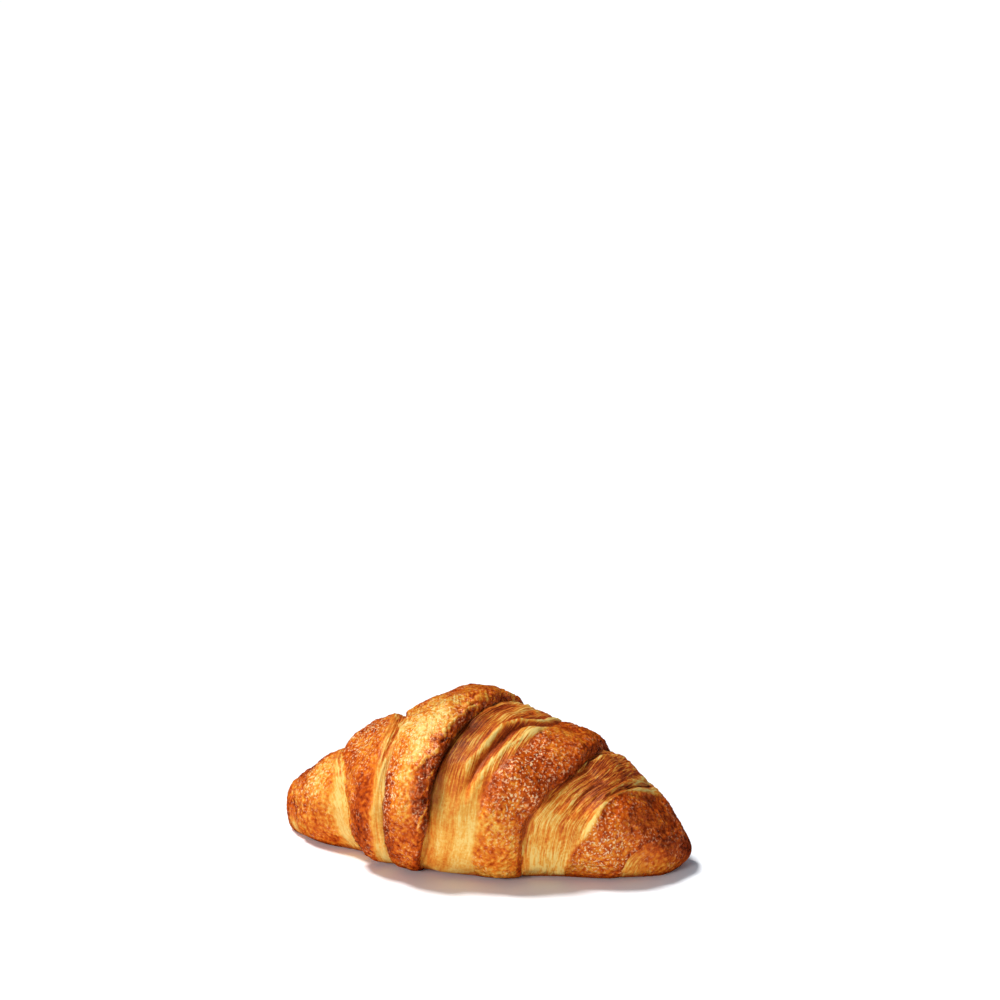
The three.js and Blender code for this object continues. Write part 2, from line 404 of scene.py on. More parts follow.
grid = roll_grid(row_turns(), FINENESS)
place, turn, wrap, share = grid["place"], grid["turn"], grid["wrap"], grid["share"]
in_middle, in_broad, in_outer = wrap == MIDDLE, wrap == INNER_RIGHT, wrap == OUTER_RIGHT
from_valley = share * grid["width"]
to_rim = (1 - share) * grid["width"]  # to the wrap's free lip
from_skin = (share - grid["skin_start"]) * grid["width"]  # past the line where the skin starts

melt = window(turn, *TIP_MELTS)
bare = np.where(in_middle, 0.0, 1 - ease(from_skin / np.array(SKIN_EDGES)[wrap] + 0.5))
bare = bare * (1 - melt * ((wrap == TIP_RIGHT) | (wrap == TIP_LEFT)))
towards_tip = ease((share - TIP_LEVELLED_FROM) / (1 - TIP_LEVELLED_FROM))
smooth_puff = grid["puff"] * (1 - TIP_LEVELLING * melt * in_outer * towards_tip)
beside_valley = np.where(in_middle, to_rim, np.where(in_broad, from_valley, FAR_AWAY))
filled = FILL_SHARE * window(turn, *CREST_TURNS) * ridge(beside_valley, FILL_REACH, FILL_REACH)
smooth_puff = smooth_puff + filled * (levelled(smooth_puff) - smooth_puff)

smooth_points = surface_point(place, grid["angle"], smooth_puff)
near_end = ease((HALF_LENGTH - np.abs(place)) / END_FADE)
off_ground = ease(smooth_points[..., 2] / GROUND_FADE)
on_broad_dough = in_broad & (bare > 0.05)
on_outer_dough = in_outer & (bare > 0.05)


def in_dough(across, along, seed):
    """Points for noise that is drawn out along the wraps: millimetres across and along one lump."""
    return np.stack([
        from_valley / across + wrap * WRAP_STEP,
        turn * TURN_LENGTH / along,
        np.full(place.shape, seed + 0.5),
    ], -1)


def drawn_noise(across, along, seed, octaves=1, fall=0.5):
    return rough_noise(in_dough(across, along, seed), seed, octaves, fall)


def round_noise(size, seed):
    """Noise with lumps of one size all round, in millimetres."""
    return gradient_noise(smooth_points / size, seed)


def domes_of(size, seed):
    domes = dome_noise(smooth_points / size, seed)
    return domes - domes.mean()


def strands(across, along, seed):
    """Thin threads along the dough, which wander a little: 1 on a thread, 0 between."""
    points = in_dough(across, along, seed)
    broader, shorter, other_seed = STRAND_WANDER
    points[..., 0] += STRAND_STRAYS * drawn_noise(across * broader, along * shorter, seed + other_seed)
    return np.clip(1 - STRAND_THINNESS * np.abs(gradient_noise(points, seed)), 0, 1)


def band(distance, past, before, after, *turns):
    """A ridge beside a line: millimetres past it, its reach before and after that, and its turns."""
    return ridge(distance - past, before, after) * window(turn, *turns)


# Folds and grooves over the drawn-out dough

FOLD_RIDGE = (  # (turn, place) of the light edge of a torn fold, left of the broad wrap's skin
    (0.27, 4.6), (0.30, 5.4), (0.33, 6.9), (0.36, 8.8), (0.39, 11.1), (0.41, 12.4), (0.43, 13.9),
    (0.445, 15.5), (0.46, 17.8), (0.475, 20.5), (0.51, 25.0), (0.60, 29.0),
)
NEXT_RIDGE = (  # the second fold, between the first and the skin
    (0.25, 8.5), (0.305, 10.3), (0.34, 12.6), (0.376, 15.6), (0.40, 18.0), (0.42, 20.4), (0.44, 22.6),
    (0.47, 25.6), (0.55, 30.0),
)
THIN_RIDGE = (  # a thin fold above the edge of the right wrap's skin
    (0.30, 40.8), (0.335, 44.4), (0.363, 46.8), (0.397, 50.4), (0.455, 55.3), (0.55, 59.0),
)
FAINT_FOLDS = (  # faint folds over the right wrap's dough
    ((0.40, 37.2), (0.434, 39.9), (0.461, 43.2), (0.49, 46.5)),
    ((0.262, 31.4), (0.294, 33.8), (0.318, 36.4), (0.346, 39.4), (0.38, 43.2)),
)
FOLD_TURNS = (0.365, 0.60, 0.09)  # from turn, to turn, and the turns over which the fold fades
NEXT_TURNS = (0.29, 0.60, 0.08)
THIN_TURNS = (0.33, 0.52, 0.06)
FLATTER_SHARE = 0.65  # the folds flatten out by this share towards the top
FLATTER_TURNS = (0.44, 0.06)  # from this turn, and over how many

# Bands beside these lines: (millimetres past the line, reach before and after that, and the turns)
FOLD_BAND = (0, 0.8, 0.45, *FOLD_TURNS)
FOLD_GROOVE_BAND = (2.4, 1.5, 1.6, 0.30, 0.58, 0.06)
BESIDE_FOLD_BAND = (-1.3, 1.4, 0.8, *FOLD_TURNS)
BETWEEN_FOLDS_BAND = (2.6, 1.9, 1.9, 0.33, 0.56, 0.06)
NEXT_BAND = (0, 0.7, 0.6, *NEXT_TURNS)
SKIN_BAND = (0, 1.3, 1.1, 0.16, 0.52, 0.08)
THIN_BAND = (0, 0.8, 0.4, *THIN_TURNS)
THIN_GROOVE_BAND = (1.3, 0.9, 0.8, *THIN_TURNS)
FAINT_BAND = (0, 0.8, 0.35)
FAINT_SOFT = 0.02
LIGHT_LIP_BAND = (1.3, 1.7, 1.3, 0.10, 0.40, 0.05)  # beside the lip of a wrap
DARK_LIP_BAND = (0.7, 1.2, 0.9, 0.10, 0.50, 0.05)

fold = place - curve_through(FOLD_RIDGE)(turn)
next_fold = place - curve_through(NEXT_RIDGE)(turn)
thin_fold = place - curve_through(THIN_RIDGE)(turn)
flatter = on_broad_dough * (1 - FLATTER_SHARE * ease((turn - FLATTER_TURNS[0]) / FLATTER_TURNS[1]))

fold_ridge = band(fold, *FOLD_BAND) * flatter
next_ridge = band(next_fold, *NEXT_BAND) * flatter
fold_groove = band(fold, *FOLD_GROOVE_BAND) * flatter
beside_fold = band(fold, *BESIDE_FOLD_BAND) * on_broad_dough
between_folds = band(fold, *BETWEEN_FOLDS_BAND) * on_broad_dough
skin_ridge = band(from_skin, *SKIN_BAND) * in_outer
thin_ridge = band(thin_fold, *THIN_BAND) * on_outer_dough
thin_groove = band(thin_fold, *THIN_GROOVE_BAND) * on_outer_dough
light_lip = band(to_rim, *LIGHT_LIP_BAND) * (wrap == INNER_LEFT)
dark_lip = band(to_rim, *DARK_LIP_BAND) * in_broad

faint_folds = np.zeros_like(place)
for knots in FAINT_FOLDS:
    line = curve_through(knots)(turn)
    faint = band(place - line, *FAINT_BAND, knots[0][0], knots[-1][0], FAINT_SOFT)
    faint_folds = np.maximum(faint_folds, faint * on_outer_dough)


# The ragged rim of the middle wrap, where its skin has cracked and flaked away

TORN_EDGES = (  # (turn, millimetres to the rim) along the edges of the flakes
    ((0.235, 2.2), (0.26, 1.4), (0.285, 0.6)),
    ((0.280, 2.4), (0.308, 1.4), (0.335, 0.5)),
    ((0.334, 4.2), (0.356, 2.8), (0.385, 1.2)),
    ((0.381, 3.6), (0.424, 2.3), (0.47, 1.4)),
    ((0.46, 3.4), (0.50, 2.6), (0.56, 1.6)),
)
TORN_SOFT = 0.008  # turns over which an edge starts and ends
TORN_STRAYS = 1.7  # millimetres that the edges waver
FLAKE_REACH = (0.26, 0.34)  # of a flake's light edge, towards the rim and away from it
HOLLOW_AT = -0.9  # the hollow under it, towards the rim, darkened with painted shadow
HOLLOW_REACH = (0.4, 0.4)
PEELED_FROM = 0.1  # millimetres inside the edge, from where the skin is gone
PEELED_SOFT = 0.5
FLAKES_WHOLE = (0.75, 1.9)  # how whole the light edges are, and how sharply they break off
FAINTER_FLAKES = 0.5  # share that is left of them over the crest
FAINTER_TURNS = (0.45, 0.04)  # from this turn, and over how many

RIM_TURNS = (0.1, 0.7, 0.1)  # from turn, to turn, soft
RIM_AT = 1.6  # millimetres from the lip
RIM_REACH = (1.2, 2.4)
RIM_HEIGHT = 0.8
RIM_RAGGEDNESS = 1.1  # millimetres that its height varies
CRACK_TURNS = (0.24, 0.62, 0.08)
CRACK_THINNESS = 6.0

# Drawn-out noise: (millimetres across and along one lump, seed, octaves, fall from each to the next)
RAGGED_NOISE = (2.6, 3.6, 11, 3, 0.6)
STRAY_NOISE = (60.0, 2.2, 13, 3, 0.7)
CRACK_NOISE = (11.0, 4.2, 17)
BREAK_NOISE = (60.0, 3.0, 19)
LIP_NOISE = (90.0, 5.0, 71, 3, 0.6)
STREAK_NOISE = (2.6, 40.0, 91)

rim = np.where(in_middle, ridge(to_rim - RIM_AT, *RIM_REACH), 0.0)
rim_rise = rim * (RIM_HEIGHT + RIM_RAGGEDNESS * drawn_noise(*RAGGED_NOISE)) * window(turn, *RIM_TURNS)
crack_lines = np.clip(1 - CRACK_THINNESS * np.abs(drawn_noise(*CRACK_NOISE)), 0, 1)
cracks = crack_lines * rim * window(turn, *CRACK_TURNS)

strays = TORN_STRAYS * drawn_noise(*STRAY_NOISE)
unbroken = ease(FLAKES_WHOLE[0] + FLAKES_WHOLE[1] * drawn_noise(*BREAK_NOISE))
unbroken = unbroken * (1 - (1 - FAINTER_FLAKES) * ease((turn - FAINTER_TURNS[0]) / FAINTER_TURNS[1]))
flake_edge, under_flake, peeled = (np.zeros_like(place) for each in range(3))
for knots in TORN_EDGES:
    inward = to_rim - curve_through(knots)(turn) - strays
    beside = window(turn, knots[0][0], knots[-1][0], TORN_SOFT) * in_middle
    flake_edge = np.maximum(flake_edge, ridge(inward, *FLAKE_REACH) * beside * unbroken)
    under_flake = np.maximum(under_flake, ridge(inward - HOLLOW_AT, *HOLLOW_REACH) * beside)
    peeled = np.maximum(peeled, ease((PEELED_FROM - inward) / PEELED_SOFT) * beside)


# Lumps, blisters and strands

UPPER_TURNS = (0.33, 0.66, 0.12)
LOW_STRANDS = (0.7, 0.65, 0.4, 0.0, 0.25, 0.65, 0.6)  # how stringy the dough is low down, wrap by wrap
WRINKLED_RIGHT = (5, 24)  # places on the broad wrap with fine wrinkles near its foot
WRINKLED_LEFT = (-36, -14)  # and on the left
WRINKLE_TURNS = (0.08, 0.24, 0.08)
STRINGY_TOP_TURNS = (0.36, 0.60, 0.08)  # where the middle wrap's skin has strands too
STRINGY_TOP_COVER = 1.6
PATCH_CONTRAST = 1.1

LARGE_LUMPS = (17, 21)  # millimetres of one lump, seed
SMALL_LUMPS = (7, 22)
LARGE_DOMES = (2.0, 31)
SMALL_DOMES = (1.2, 32)
DOME_PATCHES = (9, 33)
SKIN_GRAIN = (0.9, 34)
COARSE_STRANDS = (1.9, 30, 41)  # millimetres across and along one thread, seed
FINE_STRANDS = (0.75, 12, 47)
WRINKLES = (2.2, 9, 53)

domes = domes_of(*LARGE_DOMES)
small_domes = domes_of(*SMALL_DOMES)
patchy = ease(0.5 + PATCH_CONTRAST * round_noise(*DOME_PATCHES))

upper = window(turn, *UPPER_TURNS)
low_strands = np.array(LOW_STRANDS)[wrap]
coarse_strands = strands(*COARSE_STRANDS)
fine_strands = strands(*FINE_STRANDS)
smoother = (1 - 0.7 * between_folds) * (1 - 0.75 * beside_fold)
stringy = weighted(
    (1.0, bare * (low_strands + (1 - low_strands) * upper) * smoother),
    (0.8, light_lip),
    (0.5, window(turn, *STRINGY_TOP_TURNS) * in_middle * ease(patchy * STRINGY_TOP_COVER)),
)

wrinkled = (place > WRINKLED_RIGHT[0]) & (place < WRINKLED_RIGHT[1]) & in_broad
wrinkled = wrinkled | ((place > WRINKLED_LEFT[0]) & (place < WRINKLED_LEFT[1]))
wrinkles = strands(*WRINKLES) * window(turn, *WRINKLE_TURNS) * (1 - bare) * wrinkled


# The surface with all its relief

SHOULDER = (69.5, 3)  # place and reach of the raised end of the right tip
NECK = (60, 4)  # and of the dip before it
SHOULDER_TURNS = (0.30, 0.62, 0.12)
LIP_STRAYS = 0.9  # millimetres that the free lips waver

shoulder = ridge(place - SHOULDER[0], SHOULDER[1], SHOULDER[1]) - ridge(place - NECK[0], NECK[1], NECK[1])
rise = weighted(  # millimetres that each form stands over the smooth roll
    (1.2, fold_ridge),
    (0.6, next_ridge),
    (1.0, skin_ridge),
    (0.8, thin_ridge),
    (-1.3, fold_groove),
    (-0.6, thin_groove),
    (0.6, faint_folds),
    (1.0, rim_rise),
    (0.6, flake_edge),
    (-0.4, peeled),
    (-0.3, under_flake),
    (-1.1, cracks),
    (1.6, shoulder * window(turn, *SHOULDER_TURNS)),
)
relief = weighted(  # millimetres that each stands out from that surface, straight off it
    (1.3, round_noise(*LARGE_LUMPS)),
    (0.8, round_noise(*SMALL_LUMPS)),
    (0.9, domes * (0.3 + 0.7 * patchy) * (1 - bare)),
    (0.5, small_domes * (1 - bare)),
    (0.12, round_noise(*SKIN_GRAIN) * (1 - bare)),
    (0.45, coarse_strands * stringy),
    (0.35, fine_strands * stringy),
    (0.25, wrinkles),
)
lip_wander = LIP_STRAYS * drawn_noise(*LIP_NOISE) * lean_profile(share) * (wrap >= MIDDLE) * upper


def grid_normals(points):
    along_roll = np.gradient(points, axis=0)
    around = np.roll(points, -1, 1) - np.roll(points, 1, 1)
    normal = np.cross(along_roll, around)
    return normal / np.maximum(np.linalg.norm(normal, axis=-1, keepdims=True), 1e-9)


def surface():
    formed = surface_point(place + lip_wander * near_end, grid["angle"], smooth_puff + rise * near_end)
    points = formed + grid_normals(formed) * (relief * near_end * off_ground)[..., None]
    points[..., 2] = np.maximum(points[..., 2], 0)
    return points


# How far the crust is baked, with painted shade and painted highlight added in a few bands: 0 is cream dough,
# 1 is the darkest brown

DRAWN_BAKE = (  # over the drawn-out dough of each wrap: (turn, bake)
    ((0, 0.3), (0.5, 0.4)),
    ((0.1, 0.32), (0.2, 0.25), (0.28, 0.25), (0.36, 0.36), (0.44, 0.52), (0.7, 0.5)),
    ((0.1, 0.26), (0.2, 0.20), (0.30, 0.16), (0.36, 0.28), (0.42, 0.46), (0.7, 0.5)),
    ((0, 0.3), (0.5, 0.3)),
    ((0.1, 0.24), (0.22, 0.20), (0.29, 0.36), (0.35, 0.54), (0.48, 0.60), (0.7, 0.5)),
    ((0.1, 0.30), (0.22, 0.28), (0.30, 0.48), (0.37, 0.70), (0.5, 0.74), (0.7, 0.5)),
    ((0.1, 0.36), (0.3, 0.44), (0.5, 0.7)),
)
SKIN_BAKE = (  # over the glazed skin of each wrap: (turn, bake)
    ((0, 0.5), (0.5, 0.5)),
    ((0.1, 0.54), (0.25, 0.50), (0.36, 0.40), (0.46, 0.62), (0.6, 0.6)),
    ((0.1, 0.58), (0.22, 0.66), (0.30, 0.56), (0.42, 0.51), (0.5, 0.60), (0.7, 0.6)),
    (
        (0.08, 0.66), (0.20, 0.56), (0.30, 0.50), (0.36, 0.36), (0.42, 0.22), (0.46, 0.36), (0.50, 0.56),
        (0.7, 0.6),
    ),
    ((0.08, 0.46), (0.22, 0.42), (0.32, 0.66), (0.42, 0.72), (0.52, 0.70), (0.7, 0.6)),
    ((0.08, 0.48), (0.22, 0.50), (0.30, 0.64), (0.38, 0.74), (0.50, 0.74), (0.7, 0.6)),
    ((0.08, 0.60), (0.2, 0.56), (0.3, 0.78), (0.5, 0.72)),
)
BAKE_PATCHES = (  # place, turn, reach along the spine, reach in turns, how much darker
    (-14, 0.28, 3.0, 0.09, 0.30),  # the red-brown left edge of the middle wrap
    (-8.5, 0.33, 3.2, 0.06, -0.20),  # and its golden middle
    (-3, 0.30, 2.5, 0.10, 0.16),  # its dark right rim
    (1, 0.40, 3.0, 0.06, 0.16),
    (-0.8, 0.387, 2.4, 0.017, 0.42),  # the dark crags beside its flakes
    (-2.4, 0.330, 2.4, 0.018, 0.30),
    (-3.4, 0.285, 2.0, 0.022, 0.22),
    (2.6, 0.440, 2.2, 0.016, 0.24),
    (11, 0.560, 3.0, 0.030, -0.35),  # at the crest its rim is no darker than the dough beside it
    (-24.6, 0.24, 2.8, 0.06, 0.24),  # the dark patch low on the left wrap
    (31, 0.46, 7, 0.05, -0.28),  # the paler top of the broad wrap
    (15, 0.14, 7, 0.08, -0.10),  # the paler foot of the broad wrap
    (44, 0.34, 5, 0.05, 0.12),  # the brown dough of the right wrap
    (-48, 0.37, 5, 0.05, -0.14),  # the light top of the left tip
    (-58, 0.42, 5, 0.06, 0.16),  # and its darker end
    (46, 0.44, 7, 0.04, 0.16),  # the dark top of the right wrap
    (72, 0.27, 3, 0.09, 0.40),  # the burnt point of the right tip
)
GLINT_AND_FLAKE_PATCHES = (  # where the painted glints and light flakes lie thickest on the skin: place, turn, reach along the spine, reach in turns
    (-31, 0.40, 6, 0.07), (-12, 0.31, 4, 0.08), (26, 0.38, 8, 0.09), (20, 0.31, 5, 0.06),
    (47, 0.26, 7, 0.07), (-52, 0.36, 8, 0.08), (-10, 0.42, 10, 0.07), (-34, 0.46, 8, 0.07),
    (44, 0.20, 8, 0.06),
)
BLOTCHES = (9, 61)  # millimetres of one blotch, seed
SMALL_BLOTCHES = (3.2, 62)
# clusters of the painted glints and flakes: millimetres of one cluster, seed
GLINT_AND_FLAKE_CLUSTERS = (5, 81)
GLINTS_AND_FLAKES_SPREAD = (0.40, 1.8)  # how far the painted glints and flakes spread, and how sharply their clusters end

# Bands beside a line, as for the relief
VALLEY_SHADE_BAND = (0, 4.6, 4.6, 0.31, 0.54, 0.06)  # painted shade beside the middle wrap's rim, on the broad wrap
DARK_VALLEY_BAND = (0, 1.5, 1.5, 0.12, 0.60, 0.08)  # on the right wrap
NEXT_SHADOW_BAND = (2.4, 1.3, 2.5, *NEXT_TURNS)
FOLD_LIGHT_BAND = (0, 0.32, 0.28, *FOLD_TURNS)
NEXT_LIGHT_BAND = (0, 0.5, 0.5, *NEXT_TURNS)
SKIN_LIGHT_BAND = (-0.2, 0.8, 0.7, 0.24, 0.52, 0.06)
# painted shade beside the middle wrap's rim, on the broad wrap
RIM_SHADE_BAND = (0, 6.5, 6.5, 0.255, 0.47, 0.06)
DIM_TURNS = (0.33, 0.50, 0.06)  # where painted shade dims the right wrap's dough
LIGHT_LINE_AT = -0.1  # millimetres from the fold's ridge
WIDER_LIGHT = 1.2  # how much wider, as a share, the fold's light line gets towards the top
WIDER_TURNS = (0.455, 0.03)  # from this turn, and over how many
BROWN_LIP_REACH = (1.0, 2.2)

UNDERSIDE_BAKE = 0.66
UNDERSIDE_HEIGHT = 4.0  # over this height its colour gives way to that of the sides
DARK_KNEE = 0.74  # above this the bake is held back, so that only few spots are burnt
HELD_BACK = 0.4  # share that is left of it
LIGHT_LINE_BAKE = 0.06
LIGHT_LINE_COVER = 0.85
FLAKE_EDGE_BAKE = 0.08
# the most painted glints and flakes that any spot holds
MOST_GLINTS_AND_FLAKES = 1.2


def by_wrap(curves):
    """A value of each wrap's own curve over the turn."""
    values = np.stack([curve_through(knots)(turn) for knots in curves])
    return np.take_along_axis(values, wrap[None], 0)[0]


def patch(at, when, reach, reach_turn):
    return np.exp(-(((place - at) / reach) ** 2) - ((turn - when) / reach_turn) ** 2)


def baked_with_painted_light():
    bake = by_wrap(SKIN_BAKE) * (1 - bare) + by_wrap(DRAWN_BAKE) * bare
    bake = bake + sum(darker * patch(*where) for *where, darker in BAKE_PATCHES)
    bake = bake + weighted(  # how much darker each part is
        # painted shade in the valley beside the middle wrap's rim
        (0.36, band(from_valley, *VALLEY_SHADE_BAND) * in_broad),
        (0.30, band(from_valley, *DARK_VALLEY_BAND) * in_outer),
        # painted shade in the groove between the folds
        (0.48, between_folds),
        (0.38, thin_groove),
        (0.30, beside_fold),
        (0.20, band(next_fold, *NEXT_SHADOW_BAND) * on_broad_dough),
    )
    line_width = 1 + WIDER_LIGHT * ease((turn - WIDER_TURNS[0]) / WIDER_TURNS[1])
    light_lines = (  # how pale the edges of the folds are: pale dough, and on the first fold also a painted highlight
        (1.0, band((fold - LIGHT_LINE_AT) / line_width, *FOLD_LIGHT_BAND) * on_broad_dough),
        (0.75, band(next_fold, *NEXT_LIGHT_BAND) * on_broad_dough),
        (0.9, band(from_skin, *SKIN_LIGHT_BAND) * in_outer),
        (0.8, thin_ridge),
        (0.6, faint_folds),
    )
    for strength, line in light_lines:
        bake = bake * (1 - LIGHT_LINE_COVER * strength * line) + LIGHT_LINE_BAKE * strength * line
    lip = np.where(in_middle, np.minimum(share, 1 - share), 1 - share) * grid["width"]
    brown_lip = ridge(lip, *BROWN_LIP_REACH) * (1 - light_lip)
    blotchy = 1 - 0.4 * bare
    bake = bake + weighted(
        (0.20, brown_lip * off_ground),
        (-0.34, light_lip * off_ground),
        (0.14, dark_lip * off_ground),
        (0.22, drawn_noise(*STREAK_NOISE) * bare),
        (0.20, round_noise(*BLOTCHES) * blotchy),
        (0.12, round_noise(*SMALL_BLOTCHES) * blotchy),
        (-0.10, domes * (1 - bare)),
        (-0.22, small_domes * (1 - bare)),
        (-0.20, (coarse_strands - 0.3) * stringy),
        (-0.30, (fine_strands - 0.3) * stringy),
        (0.25, cracks),
        (0.10, peeled),
        # painted shadow in the hollow under each flake's edge
        (0.30, under_flake),
    )
    bake = bake * (1 - 0.8 * flake_edge) + FLAKE_EDGE_BAKE * flake_edge
    bake = np.where(bake > DARK_KNEE, DARK_KNEE + HELD_BACK * (bake - DARK_KNEE), bake)
    underside = 1 - ease(smooth_points[..., 2] / UNDERSIDE_HEIGHT)
    return np.clip(bake * (1 - underside) + UNDERSIDE_BAKE * underside, 0, 1)


def flaky():
    """How thick the painted glints and small light flakes lie on the skin."""
    clusters = ease(GLINTS_AND_FLAKES_SPREAD[0] + GLINTS_AND_FLAKES_SPREAD[1] * round_noise(*GLINT_AND_FLAKE_CLUSTERS))
    flakes = 0.02 + 0.30 * clusters
    flakes = flakes + 0.7 * sum(patch(*where) for where in GLINT_AND_FLAKE_PATCHES)
    on_skin = (1 - bare) * (1 - 0.8 * dark_lip) * (1 - light_lip)
    return np.clip(flakes, 0, MOST_GLINTS_AND_FLAKES) * on_skin * off_ground


def shaded():
    """Painted shade: how much light the dough keeps in the folds' hollows, beside the middle wrap's rim and
    high on the right wrap.
    """
    return 1 - weighted(
        (0.56, band(from_valley, *RIM_SHADE_BAND) * in_broad),
        (0.20, between_folds),
        (0.24, window(turn, *DIM_TURNS) * on_outer_dough),
    )


# The mesh

UV_MARGIN = 0.01
# painted glints and flakes at either tip
TIP_GLINTS_AND_FLAKES = 0.4


def ring_faces(columns, rows):
    """Quads between neighbouring columns, and a fan of triangles round either tip."""
    column, row = np.meshgrid(np.arange(columns - 1), np.arange(rows), indexing="ij")
    here, ahead = column * rows + row, column * rows + (row + 1) % rows
    quads = np.stack([here, here + rows, ahead + rows, ahead], -1).reshape(-1, 4)
    ring = np.arange(rows)
    next_ring = (ring + 1) % rows
    left, right = columns * rows, columns * rows + 1
    last = (columns - 1) * rows
    left_fan = np.stack([np.full(rows, left), ring, next_ring], -1)
    right_fan = np.stack([np.full(rows, right), last + next_ring, last + ring], -1)
    return quads, left_fan, right_fan


def flat_map():
    """A flat map of the roll, corner by corner of its faces: u along the spine and v around it."""
    columns, rows = place.shape
    reach = np.linalg.norm(np.diff(smooth_points, axis=0), axis=-1).mean(1)
    u = np.concatenate([[0], np.cumsum(reach)])
    u = UV_MARGIN + (1 - 2 * UV_MARGIN) * u / u[-1]
    v = np.append(row_turns(), 1.0)
    quad_u = np.stack([u[:-1], u[1:], u[1:], u[:-1]], -1)[:, None].repeat(rows, 1)
    quad_v = np.stack([v[:-1], v[:-1], v[1:], v[1:]], -1)[None].repeat(columns - 1, 0)
    middle_v = (v[:-1] + v[1:]) / 2
    left_v = np.stack([middle_v, v[:-1], v[1:]], -1)
    right_v = np.stack([middle_v, v[1:], v[:-1]], -1)
    left_u = np.broadcast_to([0.0, u[0], u[0]], left_v.shape)
    right_u = np.broadcast_to([1.0, u[-1], u[-1]], right_v.shape)
    maps = ((quad_u, quad_v), (left_u, left_v), (right_u, right_v))
    return np.concatenate([np.stack(pair, -1).reshape(-1, 2) for pair in maps])


def make_body():
    coordinates = (np.concatenate([surface().reshape(-1, 3), tip_points()]) + SHIFT) * MM
    faces = [face for part in ring_faces(*place.shape) for face in part.tolist()]
    mesh = bpy.data.meshes.new("croissant_crust")
    mesh.from_pydata(coordinates.tolist(), [], faces)
    mesh.polygons.foreach_set("use_smooth", np.ones(len(mesh.polygons), bool))
    mesh.uv_layers.new(name="OFBake").data.foreach_set("uv", flat_map().astype(np.float32).ravel())

    def give(name, values, left=0.0, right=0.0):
        """A value at each point, with those of the two tips."""
        attribute = mesh.attributes.new(name, "FLOAT", "POINT")
        values = np.concatenate([values.ravel(), [left, right]])
        attribute.data.foreach_set("value", values.astype(np.float32))

    bake = baked_with_painted_light()
    give("bake", bake, bake[0].mean(), bake[-1].mean())
    give("bare", bare)
    give("stringy", stringy)
    give("flaky", flaky(), TIP_GLINTS_AND_FLAKES, TIP_GLINTS_AND_FLAKES)
    give("shade", shaded(), 1.0, 1.0)
    give("across", from_valley + wrap * WRAP_STEP)
    give("along", turn * TURN_LENGTH)

    body = bpy.data.objects.new("croissant_crust", mesh)
    bpy.context.scene.collection.objects.link(body)
    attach(body, "root")
    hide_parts("croissant")
    return body


# The material of the crust

BAKE_COLOURS = (  # how far baked, and the crust's colour there
    (0.0, (0.82, 0.55, 0.16)),
    (0.2, (0.77, 0.36, 0.052)),
    (0.4, (0.69, 0.185, 0.013)),
    (0.6, (0.53, 0.080, 0.005)),
    (0.8, (0.29, 0.030, 0.002)),
    (1.0, (0.12, 0.010, 0.001)),
)
GLINT_AND_FLAKE_COLOUR = (0.97, 0.77, 0.48)  # of the painted glints on the glaze and the thin light flakes that stand off the skin
GLINT_AND_FLAKE_COVER = 0.68
SKIN_ROUGHNESS = 0.24
DRAWN_ROUGHNESS = 0.49
GLAZE_IOR = 1.40
GLAZE_TINT = (1.0, 0.86, 0.48)

# Noise of the material: (lumps a metre, or else a step of the threads, then detail and roughness)
SPECKLES = (700.0, 2.0, 0.5)
POWDER = (1700.0, 2.0, 0.5)
FLECKS = (680.0, 1.0, 0.5)
FLECK_GAPS = (1250.0, 1.0, 0.5)
DOUGH_GRAIN = (1100.0, 2.0, 0.6)
THREADS = (1.0, 3.0, 0.6)
THREAD_LINES = (1.0, 1.0, 0.5)
THREAD_SCALE = (2.4, 0.14, 0.0)  # threads a millimetre across and along the dough, and a place in the noise
LINE_SCALE = (1.1, 0.10, 7.0)

FLECK_THINNESS = 7.0
FLECK_PALER = 0.30
FLECK_HEIGHT = 0.25
GAP_CONTRAST = 12.0
GAP_LEVEL = 0.53
SPECKLE_CONTRAST = 1.0
THREAD_CONTRAST = 1.2
LINE_THINNESS = 14.0
LINE_PALER = 0.42
GRAIN_CONTRAST = 0.55
COARSE_BUMP = (1.0, 0.5 * MM)  # strength, metres high
FINE_BUMP = (0.5, 0.1 * MM)


